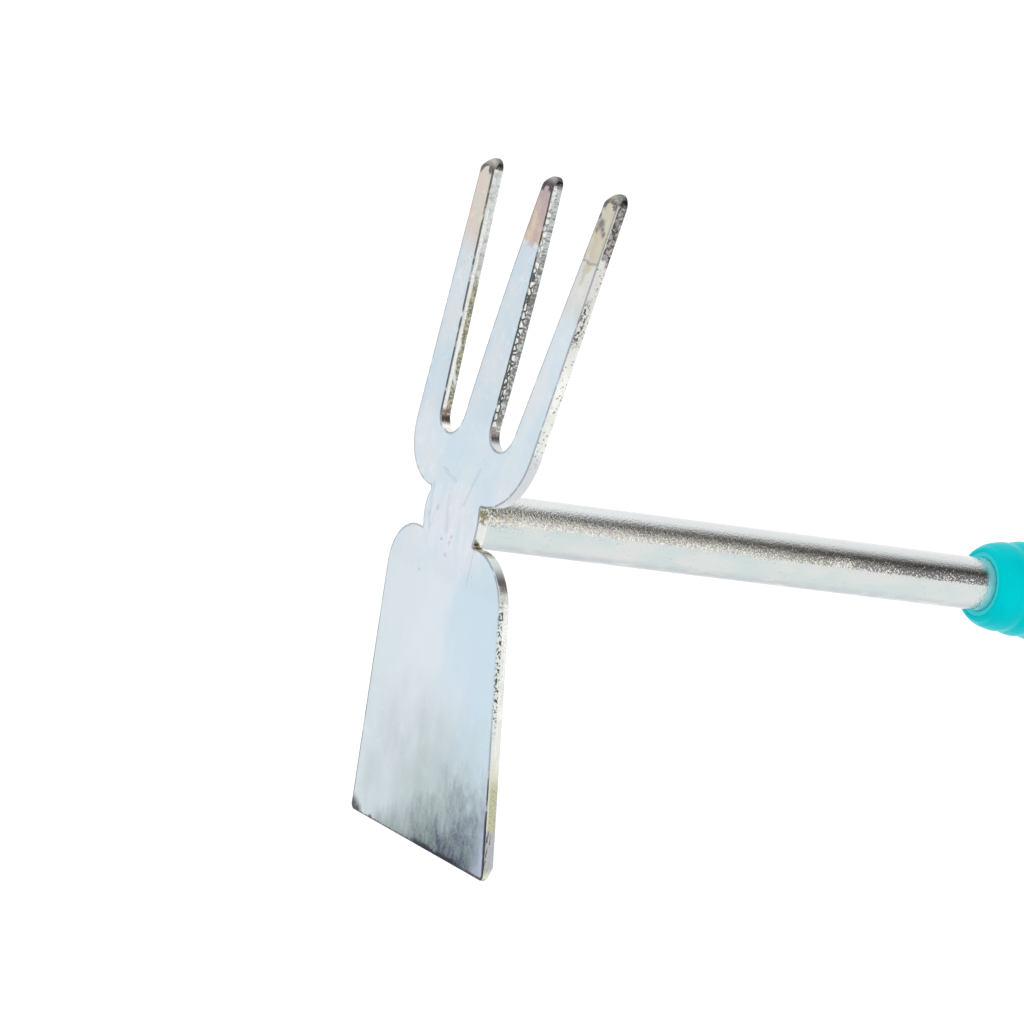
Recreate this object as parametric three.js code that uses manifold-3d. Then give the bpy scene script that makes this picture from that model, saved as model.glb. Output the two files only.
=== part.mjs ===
// Hand hoe with a blade below and a three-prong fork above, on a tubular shank with a moulded grip.
// Millimetres. The origin is the middle of the neck's front face, on the axis of the shank.
// +X runs back along the shank to the grip, +Y across the head, +Z up through the fork.

import * as THREE from 'three';
import { mergeVertices } from 'three/addons/utils/BufferGeometryUtils.js';
import Module from 'manifold-3d';

const wasm = await Module();
wasm.setup();

// Head plate: one piece of sheet steel
const plateThickness = 4;
const padHalfHeight = 5;
const bladeFold = THREE.MathUtils.degToRad(6.3);
const forkFold = THREE.MathUtils.degToRad(5.8);
const neckRadius = 18.2;
const neckRootRadius = 0.8;

// Blade, below the neck
const bladeReach = 112;
const bladeHalfWidth = 46.8;
const bladeCornerRadius = 2;
const shoulderTop = 6.7;
const shoulderHalfWidth = 39;
const shoulderRadius = 18.5;
const edgeLand = 1.4;
const edgeBevelHeight = 5;

// Fork, above the neck: each outer prong rises from a rounded lobe
const forkReach = 117.8;
const forkHalfWidth = 45.6;
const lobeBottom = 7.2;
const lobeHalfWidth = 39.2;
const lobeRadius = 21.9;
const prongTipRadius = 4.5;
const middleSetback = 0.3;
const middleRootHalfWidth = 9.3;
const middleTipRadius = 3.6;
const middleBellyRadius = 840;
const slotRadius = 7.8;
const slotFloor = 26;

// Shank: steel tube, welded to the back of the neck
const shankRadius = 9.5;
const shankWall = 1.2;
const shankExposed = 216.8;
const seatGap = 0.3;
const weldLeg = 2;
const weldGap = 0.2;

// Grip: moulded sleeve pushed over the end of the shank
const gripLength = 126;
const gripFit = 0.3;
const gripInsert = 98;
const gripFrontRadius = 13.9;
const gripPalmRadius = 18.5;
const gripWaistRadius = 15.6;
const gripTailRadius = 16.8;
const gripPalmStart = 54;
const gripWaistStart = 98;
const gripTailStart = 113;
const ribPitch = 8.6;
const ribDepth = 0.75;
const ribStart = 11.8;
const ribCount = 6;
const tailRounding = 9;
const tailThickness = 20;
const tailDishRadius = 40;
const hangHoleRadius = 4.5;
const hangHoleInset = 15;

// How finely curves are cut, and how far a cutting body runs past what it cuts
const arcSteps = 8;
const roundSteps = 48;
const lipSteps = 6;
const ribSteps = 6;
const bodySteps = 10;
const tailSteps = 6;
const overrun = 5;

const zincPlated = { color: 0xc4cbd2, roughness: 0.38, metalness: 0.9 };
const steel = {
  plate: new THREE.MeshStandardMaterial(zincPlated),
  tube: new THREE.MeshStandardMaterial({ color: 0xcfd3d2, roughness: 0.28, metalness: 0.95 }),
  weld: new THREE.MeshStandardMaterial({ color: 0xb9bcb8, roughness: 0.5, metalness: 0.85 }),
};
const tealRubber = new THREE.MeshStandardMaterial({ color: 0x00c4c8, roughness: 0.32, metalness: 0 });

// Closed geometry to a solid, and back
function solidOf(geometry) {
  const bare = geometry.index ? geometry.toNonIndexed() : geometry.clone();
  bare.deleteAttribute('normal');
  bare.deleteAttribute('uv');
  const welded = mergeVertices(bare);
  return new wasm.Manifold(new wasm.Mesh({
    numProp: 3,
    vertProperties: new Float32Array(welded.attributes.position.array),
    triVerts: new Uint32Array(welded.index.array),
  }));
}

function geometryOf(solid) {
  const mesh = solid.getMesh();
  const geometry = new THREE.BufferGeometry();
  geometry.setAttribute('position', new THREE.BufferAttribute(mesh.vertProperties, 3));
  geometry.setIndex(new THREE.BufferAttribute(mesh.triVerts, 1));
  geometry.computeVertexNormals();
  return geometry;
}

// Box given by its two corners
function boxBetween(low, high) {
  const size = new THREE.Vector3().subVectors(high, low);
  const centre = new THREE.Vector3().addVectors(low, high).multiplyScalar(0.5);
  const box = new THREE.BoxGeometry(size.x, size.y, size.z);
  return box.translate(centre.x, centre.y, centre.z);
}

// An outline drawn in Y and Z and given its thickness along X
function extrudeAlongX(shape, thickness) {
  const geometry = new THREE.ExtrudeGeometry(shape, {
    depth: thickness,
    bevelEnabled: false,
    curveSegments: arcSteps,
  });
  const yzToWorld = new THREE.Matrix4().makeBasis(
    new THREE.Vector3(0, 1, 0),
    new THREE.Vector3(0, 0, 1),
    new THREE.Vector3(1, 0, 0),
  );
  return geometry.applyMatrix4(yzToWorld);
}

// A profile of (radius, distance along X) pairs turned round the X axis
function turnAboutX(profile) {
  const points = profile.map(([radius, along]) => new THREE.Vector2(radius, along));
  return new THREE.LatheGeometry(points, roundSteps).rotateZ(-Math.PI / 2);
}

// The head's outline is a chain of circles, each { y, z, r }, joined by the straight lines that
// touch them. It runs counterclockwise; r is negative where the outline turns inward.

// Angle of the outward normal of the line that touches circle a and then circle b
function touchAngle(a, b) {
  const distance = Math.hypot(b.y - a.y, b.z - a.z);
  const lean = Math.acos(THREE.MathUtils.clamp((a.r - b.r) / distance, -1, 1));
  return Math.atan2(b.z - a.z, b.y - a.y) - lean;
}

// The circle of radius r that touches both a and b, as the outline passes from a to b
function circleBetween(a, b, r) {
  const distance = Math.hypot(b.y - a.y, b.z - a.z);
  const toA = Math.abs(r - a.r);
  const toB = Math.abs(r - b.r);
  const along = (distance ** 2 + toA ** 2 - toB ** 2) / (2 * distance);
  const aside = Math.sqrt(toA ** 2 - along ** 2) * Math.sign(r);
  const unitY = (b.y - a.y) / distance;
  const unitZ = (b.z - a.z) / distance;
  return { y: a.y + unitY * along - unitZ * aside, z: a.z + unitZ * along + unitY * aside, r };
}

function outlineShape(circles) {
  const shape = new THREE.Shape();
  circles.forEach((circle, i) => {
    const before = circles[(i + circles.length - 1) % circles.length];
    const after = circles[(i + 1) % circles.length];
    const inward = circle.r < 0 ? Math.PI : 0;
    const start = touchAngle(before, circle) + inward;
    const end = touchAngle(circle, after) + inward;
    shape.absarc(circle.y, circle.z, Math.abs(circle.r), start, end, circle.r < 0);
  });
  shape.closePath();
  return shape;
}

// The +Y half of the outline, from the blade's corner up to the middle prong, then the other half
function headCircles() {
  const corner = {
    y: bladeHalfWidth - bladeCornerRadius,
    z: bladeCornerRadius - bladeReach,
    r: bladeCornerRadius,
  };
  const shoulder = {
    y: shoulderHalfWidth - shoulderRadius,
    z: -shoulderTop - shoulderRadius,
    r: shoulderRadius,
  };
  const neck = { y: 0, z: 0, r: neckRadius };
  const lobe = { y: lobeHalfWidth - lobeRadius, z: lobeBottom + lobeRadius, r: lobeRadius };
  const tip = { y: forkHalfWidth - prongTipRadius, z: forkReach - prongTipRadius, r: prongTipRadius };
  const slot = { y: middleRootHalfWidth + slotRadius, z: slotFloor + slotRadius, r: -slotRadius };
  const middle = { y: 0, z: forkReach - middleSetback - middleTipRadius, r: middleTipRadius };
  const lowerRoot = circleBetween(shoulder, neck, -neckRootRadius);
  const upperRoot = circleBetween(neck, lobe, -neckRootRadius);
  const belly = circleBetween(slot, middle, middleBellyRadius);
  const right = [corner, shoulder, lowerRoot, neck, upperRoot, lobe, tip, slot, belly];
  const left = right.map(({ y, z, r }) => ({ y: -y, z, r })).reverse();
  return [...right, middle, ...left];
}

// The part of a triangle above (side 1) or below (side -1) a level plane, as a fan of triangles
function clipTriangle(triangle, height, side) {
  const kept = [];
  triangle.forEach((point, i) => {
    const next = triangle[(i + 1) % triangle.length];
    if (side * (point.z - height) >= 0) kept.push(point);
    if ((point.z - height) * (next.z - height) < 0) {
      const [low, high] = point.z < next.z ? [point, next] : [next, point];
      const crossing = low.clone().lerp(high, (height - low.z) / (high.z - low.z));
      kept.push(crossing.setZ(height));
    }
  });
  return kept.slice(2).map((point, i) => [kept[0], kept[i + 1], point]);
}

// How far the folds lean the head back towards the grip, at a height
function leanAt(height) {
  const aboveFold = Math.max(height - padHalfHeight, 0);
  const belowFold = Math.max(-height - padHalfHeight, 0);
  return aboveFold * Math.tan(forkFold) + belowFold * Math.tan(bladeFold);
}

// Folds a flat blank at the pad's upper and lower edge, as the press does
function folded(geometry) {
  const flat = geometry.index ? geometry.toNonIndexed() : geometry;
  const places = flat.attributes.position;
  let triangles = [];
  for (let i = 0; i < places.count; i += 3) {
    triangles.push([0, 1, 2].map((k) => new THREE.Vector3().fromBufferAttribute(places, i + k)));
  }
  for (const height of [-padHalfHeight, padHalfHeight]) {
    triangles = triangles.flatMap((triangle) => [
      ...clipTriangle(triangle, height, -1),
      ...clipTriangle(triangle, height, 1),
    ]);
  }
  const points = triangles.flat().map(({ x, y, z }) => new THREE.Vector3(x + leanAt(z), y, z));
  return new THREE.BufferGeometry().setFromPoints(points);
}

// Ground cutting edge: the back of the blade is cut away down to the land
function edgeCutter() {
  const slope = (plateThickness - edgeLand) / edgeBevelHeight;
  const section = new THREE.Shape([
    new THREE.Vector2(edgeLand - slope * overrun, -bladeReach - overrun),
    new THREE.Vector2(plateThickness + overrun, -bladeReach - overrun),
    new THREE.Vector2(plateThickness + overrun, edgeBevelHeight - bladeReach + overrun / slope),
  ]);
  const width = 2 * (bladeHalfWidth + overrun);
  const prism = new THREE.ExtrudeGeometry(section, { depth: width, bevelEnabled: false });
  return solidOf(prism.rotateX(Math.PI / 2).translate(0, width / 2, 0));
}

function headPlate() {
  const blank = solidOf(extrudeAlongX(outlineShape(headCircles()), plateThickness));
  return geometryOf(solidOf(folded(geometryOf(blank.subtract(edgeCutter())))));
}

// Everything in front of the plate's back, with the clearance that welded pieces keep to it
function seatCutter() {
  const half = neckRadius + overrun;
  const low = new THREE.Vector3(-overrun, -half, -half);
  const high = new THREE.Vector3(plateThickness + seatGap, half, half);
  return solidOf(folded(boxBetween(low, high)));
}

function shankTube() {
  const inner = shankRadius - shankWall;
  const end = plateThickness + shankExposed + gripInsert;
  const tube = turnAboutX([[inner, 0], [shankRadius, 0], [shankRadius, end], [inner, end], [inner, 0]]);
  return geometryOf(solidOf(tube).subtract(seatCutter()));
}

// Fillet weld round the foot of the shank, seated along the folds like the foot itself
function weldBead() {
  const inner = shankRadius + weldGap;
  const foot = plateThickness + seatGap;
  const bead = turnAboutX([[inner, foot], [inner + weldLeg, foot], [inner, foot + weldLeg], [inner, foot]]);
  return geometryOf(solidOf(folded(bead)));
}

// Lip round the grip's mouth, rounded over from the bore to the skin
const gripBore = shankRadius + gripFit;
const gripLip = (gripFrontRadius - gripBore) / 2;

// Radius of the grip's skin without its ribs, at a distance from its mouth
function gripEnvelope(along) {
  if (along < gripPalmStart) {
    const left = (gripPalmStart - along) / (gripPalmStart - gripLip);
    return gripFrontRadius + (gripPalmRadius - gripFrontRadius) * Math.sqrt(1 - left ** 2);
  }
  if (along < gripWaistStart) {
    const share = THREE.MathUtils.smoothstep(along, gripPalmStart, gripWaistStart);
    return THREE.MathUtils.lerp(gripPalmRadius, gripWaistRadius, share);
  }
  const share = THREE.MathUtils.smoothstep(along, gripWaistStart, gripTailStart);
  return THREE.MathUtils.lerp(gripWaistRadius, gripTailRadius, share);
}

// Depth of the nearest groove between the ribs
function grooveAt(along) {
  const place = (along - ribStart) / ribPitch;
  const nearest = THREE.MathUtils.clamp(Math.round(place), 0, ribCount - 1);
  const away = Math.min(Math.abs(place - nearest) * 2, 1);
  return ribDepth * (1 - Math.sin(away * Math.PI / 2));
}

function gripProfile() {
  const ribsEnd = ribStart + ribPitch * (ribCount - 0.5);
  const skinEnd = gripLength - tailRounding;
  const profile = [];
  for (let i = 0; i < lipSteps; i++) {
    const angle = Math.PI * (1 - i / lipSteps);
    profile.push([gripBore + gripLip * (1 + Math.cos(angle)), gripLip * (1 - Math.sin(angle))]);
  }
  const stations = [];
  for (let i = 0; i < ribSteps; i++) {
    stations.push(gripLip + (ribStart - gripLip) * i / ribSteps);
  }
  for (let i = 0; i < ribSteps * (ribCount - 0.5); i++) {
    stations.push(ribStart + ribPitch * i / ribSteps);
  }
  for (let i = 0; i < bodySteps; i++) {
    stations.push(ribsEnd + (skinEnd - ribsEnd) * i / bodySteps);
  }
  for (const along of stations) {
    profile.push([gripEnvelope(along) - grooveAt(along), along]);
  }
  for (let i = 0; i <= tailSteps; i++) {
    const angle = Math.PI / 2 * i / tailSteps;
    const radius = gripTailRadius - tailRounding * (1 - Math.cos(angle));
    profile.push([radius, skinEnd + tailRounding * Math.sin(angle)]);
  }
  const boreEnd = gripInsert + gripFit;
  profile.push([0, gripLength], [0, boreEnd], [gripBore, boreEnd], [gripBore, gripLip]);
  return profile;
}

// Round bar across the grip, used for the hang hole and for the dished sides of the tail
function crossBar(radius, length) {
  return new THREE.CylinderGeometry(radius, radius, length, roundSteps);
}

function gripSleeve() {
  const holeAt = gripLength - hangHoleInset;
  const across = 2 * (gripPalmRadius + overrun);
  const dishSide = tailThickness / 2 + tailDishRadius;
  const hole = crossBar(hangHoleRadius, across).translate(holeAt, 0, 0);
  let sleeve = solidOf(turnAboutX(gripProfile())).subtract(solidOf(hole));
  for (const side of [-1, 1]) {
    const dish = crossBar(tailDishRadius, across).rotateX(Math.PI / 2);
    sleeve = sleeve.subtract(solidOf(dish.translate(holeAt, side * dishSide, 0)));
  }
  return geometryOf(sleeve);
}

function named(name, geometry, material) {
  const mesh = new THREE.Mesh(geometry, material);
  mesh.name = name;
  return mesh;
}

const group = new THREE.Group();
group.add(named('head_plate', headPlate(), steel.plate));
group.add(named('shank_tube', shankTube(), steel.tube));
group.add(named('weld_bead', weldBead(), steel.weld));

const grip = named('grip_sleeve', gripSleeve(), tealRubber);
grip.position.x = plateThickness + shankExposed;
group.add(grip);

export default group;
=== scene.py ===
import math
import bmesh
import bpy
from mathutils import Matrix, Quaternion, Vector


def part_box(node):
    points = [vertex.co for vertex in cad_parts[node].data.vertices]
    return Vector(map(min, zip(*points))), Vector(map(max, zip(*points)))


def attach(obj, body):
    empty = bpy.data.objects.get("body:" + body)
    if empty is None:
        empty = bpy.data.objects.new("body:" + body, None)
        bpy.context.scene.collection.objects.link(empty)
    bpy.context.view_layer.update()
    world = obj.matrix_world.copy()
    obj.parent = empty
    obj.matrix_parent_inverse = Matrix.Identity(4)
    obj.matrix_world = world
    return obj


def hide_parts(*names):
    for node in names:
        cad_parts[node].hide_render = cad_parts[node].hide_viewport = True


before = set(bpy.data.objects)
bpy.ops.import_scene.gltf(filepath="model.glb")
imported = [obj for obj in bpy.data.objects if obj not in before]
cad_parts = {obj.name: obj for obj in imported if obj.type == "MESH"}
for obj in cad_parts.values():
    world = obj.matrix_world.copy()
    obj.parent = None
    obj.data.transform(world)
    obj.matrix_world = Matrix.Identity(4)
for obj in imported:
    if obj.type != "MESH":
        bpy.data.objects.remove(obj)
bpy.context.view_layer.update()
mm = 0.001  # sizes below are in millimetres, objects are in metres
print("frame loaded:", sorted(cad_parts))


# Camera, fitted to the head and the shank in the photograph
photoView = {
    "place": (-773.53, -1303.017, 192.912),
    "aim": (17.199, -9.695, 5.668),
    "roll": 11.6251,
    "lens": 161.464,
    "sensor": 36,
    "near": 0.05,  # clipping distances, in metres
    "far": 60,
}


def setCamera(view):
    data = bpy.data.cameras.new("photoCamera")
    data.lens = view["lens"]
    data.sensor_width = view["sensor"]
    data.clip_start = view["near"]
    data.clip_end = view["far"]
    place = Vector(view["place"]) * mm
    ahead = Vector(view["aim"]) * mm - place
    facing = ahead.to_track_quat("-Z", "Y")
    roll = Quaternion((0, 0, 1), math.radians(view["roll"]))
    camera = bpy.data.objects.new("photoCamera", data)
    camera.matrix_world = Matrix.Translation(place) @ (facing @ roll).to_matrix().to_4x4()
    bpy.context.scene.collection.objects.link(camera)
    bpy.context.scene.camera = camera
    print("camera set")


setCamera(photoView)


# Small tools for numbers and meshes

def lerp(a, b, share):
    return a + (b - a) * share


def clamp(value, low=0, high=1):
    return min(max(value, low), high)


def smoothStep(value, low, high):
    share = clamp((value - low) / (high - low))
    return share * share * (3 - 2 * share)


def quarterTurn(steps):  # the angles from 0 to a right angle
    return [math.pi / 2 * k / steps for k in range(steps + 1)]


def nodeBox(name):  # a frame node's corners in millimetres
    low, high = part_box(name)
    return low / mm, high / mm


def meshObject(name, bm, smooth=True):
    for face in bm.faces:
        face.smooth = smooth
    mesh = bpy.data.meshes.new(name)
    bm.to_mesh(mesh)
    bm.free()
    obj = bpy.data.objects.new(name, mesh)
    bpy.context.scene.collection.objects.link(obj)
    return obj


# Small tools for node trees: each gives an output socket, and takes sockets or plain values
current = {}  # the material and tree being built, and the coordinates that its textures use
seedShift = (3.7, 5.1, 7.3)  # how far each seed moves a texture, so that no two are alike


def feed(socket, value):
    if isinstance(value, bpy.types.NodeSocket):
        current["tree"].links.new(value, socket)
    else:
        socket.default_value = value


def addNode(kind, inputs, **settings):
    made = current["tree"].nodes.new(kind)
    for key, value in settings.items():
        setattr(made, key, value)
    for name, value in inputs.items():
        feed(made.inputs[name], value)
    return made


def calc(operation, *values):
    return addNode("ShaderNodeMath", dict(enumerate(values)), operation=operation).outputs[0]


def chain(operation, values):
    made = values[0]
    for value in values[1:]:
        made = calc(operation, made, value)
    return made


def add(*values):
    return chain("ADD", values)


def times(*values):  # also the meeting of masks
    return chain("MULTIPLY", values)


def strongest(*masks):
    return chain("MAXIMUM", masks)


def minus(value, other):
    return calc("SUBTRACT", value, other)


def without(mask):
    return minus(1, mask)


def absolute(value):
    return calc("ABSOLUTE", value)


def lift(base, mask, share):  # the base plus a share of the mask
    return add(times(mask, share), base)


def axes(vector):
    return addNode("ShaderNodeSeparateXYZ", {0: vector}).outputs


def joinAxes(x, y, z):
    return addNode("ShaderNodeCombineXYZ", {0: x, 1: y, 2: z}).outputs[0]


def vectorCalc(operation, *values):
    made = addNode("ShaderNodeVectorMath", dict(enumerate(values)), operation=operation)
    return made.outputs["Value" if operation in ("DISTANCE", "DOT_PRODUCT") else "Vector"]


def scaled(vector, factor):
    inputs = {0: vector, "Scale": factor}
    return addNode("ShaderNodeVectorMath", inputs, operation="SCALE").outputs["Vector"]


def ramp(value, low, high, smooth=True):  # 0 below low, 1 above high; low may be the larger
    rising = low < high
    inputs = {"Value": value, "From Min": min(low, high), "From Max": max(low, high),
              "To Min": 0 if rising else 1, "To Max": 1 if rising else 0}
    kind = "SMOOTHSTEP" if smooth else "LINEAR"
    return addNode("ShaderNodeMapRange", inputs, interpolation_type=kind).outputs["Result"]


def band(value, middle, half, soft):  # 1 near a value, 0 away from it
    return ramp(absolute(minus(value, middle)), half + soft, half)


def colour(tint):  # a screen colour, three numbers to 255, becomes the linear colour that nodes use
    if isinstance(tint, tuple) and len(tint) == 3:
        return tuple(((c / 255 + 0.055) / 1.055) ** 2.4 if c > 10 else c / 255 / 12.92 for c in tint) + (1,)
    return tint


def mixColour(mask, below, above):
    inputs = {0: mask, 6: colour(below), 7: colour(above)}
    return addNode("ShaderNodeMix", inputs, data_type="RGBA").outputs[2]


def lay(below, above, share, *masks):  # a colour laid over another where all the masks meet
    return mixColour(times(*masks, share), below, above)


def layAll(below, *layers):  # each layer is a colour, its share and its masks
    for above, share, *masks in layers:
        below = lay(below, above, share, *masks)
    return below


def fitted(size, seed, stretch):  # coordinates in which a texture's spots are size millimetres wide
    inputs = {
        "Vector": current["place"],
        "Location": tuple(seed * shift for shift in seedShift),
        "Scale": tuple(1 / (size * longer) for longer in stretch),
    }
    return addNode("ShaderNodeMapping", inputs).outputs[0]


def grain(size, seed, detail=2, stretch=(1, 1, 1), roughness=0.5, warp=0):
    inputs = {"Vector": fitted(size, seed, stretch), "Scale": 1, "Detail": detail,
              "Roughness": roughness, "Distortion": warp}
    return addNode("ShaderNodeTexNoise", inputs).outputs["Fac"]


def cells(size, seed, stretch=(1, 1, 1), feature="F1"):
    inputs = {"Vector": fitted(size, seed, stretch), "Scale": 1}
    return addNode("ShaderNodeTexVoronoi", inputs, feature=feature).outputs["Distance"]


def wobble(reach, *noise):  # an uneven offset for ragged edges
    return times(minus(grain(*noise), 0.5), reach)


def bump(height, depth, below=None):  # depth is how far the bump stands, in millimetres
    inputs = {"Strength": 1, "Distance": depth * mm, "Height": height}
    if below is not None:
        inputs["Normal"] = below
    return addNode("ShaderNodeBump", inputs).outputs["Normal"]


def startMaterial(name):
    current["material"] = bpy.data.materials.new(name)
    current["material"].use_nodes = True
    current["tree"] = current["material"].node_tree


def objectAxes():  # x, y and z of the object's own coordinates, in millimetres
    where = addNode("ShaderNodeTexCoord", {})
    current["place"] = scaled(where.outputs["Object"], 1 / mm)
    return axes(current["place"])


def endMaterial(inputs):
    shader = current["tree"].nodes["Principled BSDF"]
    for name, value in inputs.items():
        feed(shader.inputs[name], value)
    return current["material"]


def startTree(name, values):  # a geometry tree with a named input for each value
    tree = bpy.data.node_groups.new(name, "GeometryNodeTree")
    for way in ("INPUT", "OUTPUT"):
        tree.interface.new_socket(name="Geometry", in_out=way, socket_type="NodeSocketGeometry")
    for label, start in values.items():
        kind = "NodeSocketInt" if isinstance(start, int) else "NodeSocketFloat"
        tree.interface.new_socket(name=label, in_out="INPUT", socket_type=kind).default_value = start
    current["tree"] = tree
    return addNode("NodeGroupInput", {}).outputs


def moved(geometry, **change):  # Position or Offset
    return addNode("GeometryNodeSetPosition", {"Geometry": geometry, **change}).outputs[0]


def endTree(geometry, material):
    real = addNode("GeometryNodeRealizeInstances", {0: geometry}).outputs[0]
    finish = addNode("GeometryNodeSetMaterial", {"Geometry": real, "Material": material})
    addNode("NodeGroupOutput", {"Geometry": finish.outputs[0]})
    return current["tree"]


def runTree(obj, tree, values):  # leaves the tree's result on the object as a plain mesh
    modifier = obj.modifiers.new(tree.name, "NODES")
    modifier.node_group = tree
    for socket in tree.interface.items_tree:
        if socket.in_out == "INPUT" and socket.name in values:
            modifier[socket.identifier] = values[socket.name]
    graph = bpy.context.evaluated_depsgraph_get()
    made = bpy.data.meshes.new_from_object(obj.evaluated_get(graph), preserve_all_data_layers=True,
                                           depsgraph=graph)
    obj.modifiers.clear()
    obj.data = made
    for polygon in made.polygons:
        polygon.use_smooth = True


# Head plate: blade below the neck, three prongs above it, one pressed sheet
plateLow, plateHigh = nodeBox("head_plate")
plate = {
    "thickness": 4,
    "padHalfHeight": 5,
    "foldBlend": 3,  # half the height over which each fold turns
    "bladeFold": math.radians(6.3),
    "forkFold": math.radians(5.8),
    "neckRadius": 18.2,
    "neckRootRadius": 0.8,
    "bladeReach": -plateLow.z,
    "bladeHalfWidth": plateHigh.y,
    "bladeCornerRadius": 2,
    "shoulderTop": 6.7,
    "shoulderHalfWidth": 39,
    "shoulderRadius": 18.5,
    "edgeLand": 1.4,
    "edgeBevelHeight": 5,
    "forkReach": plateHigh.z,
    "forkHalfWidth": 45.6,
    "lobeBottom": 7.2,
    "lobeHalfWidth": 39.2,
    "lobeRadius": 21.9,
    "prongTipRadius": 4.5,
    "middleSetback": 0.3,
    "middleRootHalfWidth": 9.3,
    "middleTipRadius": 3.6,
    "middleBellyRadius": 840,
    "slotRadius": 7.8,
    "slotFloor": 26,
    "frontRoll": 0.6,  # the front edge is drawn over by the punch, the back edge is nearly sharp
    "backRoll": 0.35,
    "tipRollShare": 0.66,  # the prongs' ends are ground round
    "flatRim": 0.12,  # narrow flat ring that keeps the face's shading flat
    "outlineWidth": 0.75,  # the face is darker this close to its edge
    "arcPitch": 0.5,
    "arcLeastSteps": 4,
    "bellySteps": 24,
    "rollSteps": 6,
    "wallSteps": 6,
    "backSteps": 3,
    "foldSteps": 5,
    "bevelSpread": 0.3,  # extra rows this far above and below the top of the cutting edge's bevel
    "cutReach": 0.0001,
    "mergeReach": 0.002,  # vertices nearer than this become one
}
wear = {  # marks on the front face, in millimetres: y and z of each end, and half the width
    "creases": (((12.3, 14.6), (2.1, 11.6), 0.5), ((-10.4, 18.3), (-6.3, 5.4), 0.45),
                ((3.7, 6), (1.2, -4.8), 0.9), ((16, 9), (13, -6), 0.5), ((-20, -2), (-16, -20), 0.3)),
    "pits": ((9.5, 1.2, 0.8), (13.8, -1.3, 0.6), (3.5, -8.1, 0.7), (-2.7, -6.3, 0.6),
             (-1.8, -8.5, 0.7), (0, -13, 0.8), (16.5, -21.4, 0.6), (-18.7, -16.3, 0.5)),
    "tipSpots": ((-39.1, 106.9, 1.8), (-37, 109.3, 0.9), (-42.2, 103.9, 0.9), (-40.6, 105.2, 1.1),
                 (-37.4, 104.8, 0.9)),
    "edgeSpots": ((45.6, -111, 3.4), (42.6, -112, 2.9), (32.4, -111.8, 1.2)),
    "tipCrescent": 2.3,  # width of the dark rim round each prong's end
    "tipCrescentDrop": 1,
    "sootReach": (8, 46),  # how far the soot climbs at the left end and near the right end of the edge
}
markNames = ("wall", "depth", "tipEnd", "side", "rim")  # what each vertex of the sheet carries


def touchAngle(a, b):  # outward normal of the line that touches circle a and then circle b
    distance = math.hypot(b[0] - a[0], b[1] - a[1])
    lean = math.acos(clamp((a[2] - b[2]) / distance, -1, 1))
    return math.atan2(b[1] - a[1], b[0] - a[0]) - lean


def circleBetween(a, b, r):  # the circle that touches both, as the outline passes from a to b
    distance = math.hypot(b[0] - a[0], b[1] - a[1])
    toA, toB = abs(r - a[2]), abs(r - b[2])
    along = (distance ** 2 + toA ** 2 - toB ** 2) / (2 * distance)
    aside = math.copysign(math.sqrt(toA ** 2 - along ** 2), r)
    unitY, unitZ = (b[0] - a[0]) / distance, (b[1] - a[1]) / distance
    return (a[0] + unitY * along - unitZ * aside, a[1] + unitZ * along + unitY * aside, r)


def tipCircles(p):  # the rounded ends of an outer prong and of the middle one
    outer, middle = p["prongTipRadius"], p["middleTipRadius"]
    return ((p["forkHalfWidth"] - outer, p["forkReach"] - outer, outer),
            (0, p["forkReach"] - p["middleSetback"] - middle, middle))


def headCircles(p):  # (y, z, radius), counterclockwise; the radius is negative where the outline turns in
    corner = (p["bladeHalfWidth"] - p["bladeCornerRadius"], p["bladeCornerRadius"] - p["bladeReach"],
              p["bladeCornerRadius"])
    shoulder = (p["shoulderHalfWidth"] - p["shoulderRadius"], -p["shoulderTop"] - p["shoulderRadius"],
                p["shoulderRadius"])
    neck = (0, 0, p["neckRadius"])
    lobe = (p["lobeHalfWidth"] - p["lobeRadius"], p["lobeBottom"] + p["lobeRadius"], p["lobeRadius"])
    slot = (p["middleRootHalfWidth"] + p["slotRadius"], p["slotFloor"] + p["slotRadius"], -p["slotRadius"])
    tip, middle = tipCircles(p)
    lowerRoot = circleBetween(shoulder, neck, -p["neckRootRadius"])
    upperRoot = circleBetween(neck, lobe, -p["neckRootRadius"])
    belly = circleBetween(slot, middle, p["middleBellyRadius"])
    right = [corner, shoulder, lowerRoot, neck, upperRoot, lobe, tip, slot, belly]
    return right + [middle] + [(-y, z, r) for y, z, r in reversed(right)]


def outlinePoints(circles, p):  # (y, z, normal y, normal z, how far the front edge rolls over, tip's end)
    points = []
    tipRadii = (p["prongTipRadius"], p["middleTipRadius"])
    for i, (y, z, r) in enumerate(circles):
        start = touchAngle(circles[i - 1], circles[i])
        end = touchAngle(circles[i], circles[(i + 1) % len(circles)])
        sweep = (end - start) % math.tau if r > 0 else -((start - end) % math.tau)
        steps = max(p["arcLeastSteps"], math.ceil(abs(r * sweep) / p["arcPitch"]))
        if abs(r) == p["middleBellyRadius"]:
            steps = p["bellySteps"]
        for k in range(steps + 1):
            angle = start + sweep * k / steps
            normalY, normalZ = math.cos(angle), math.sin(angle)
            ending = smoothStep(normalZ, 0, 1) if r in tipRadii and z > 0 else 0
            roll = lerp(p["frontRoll"], p["tipRollShare"] * r, ending)
            points.append((y + r * normalY, z + r * normalZ, normalY, normalZ, roll, ending))
    return points


def leanAt(height, p):  # how far the folds lean the head back at a height
    def past(distance):
        if distance < -p["foldBlend"]:
            return 0
        if distance > p["foldBlend"]:
            return distance
        return (distance + p["foldBlend"]) ** 2 / (4 * p["foldBlend"])
    above = past(height - p["padHalfHeight"]) * math.tan(p["forkFold"])
    below = past(-height - p["padHalfHeight"]) * math.tan(p["bladeFold"])
    return above + below


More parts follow.
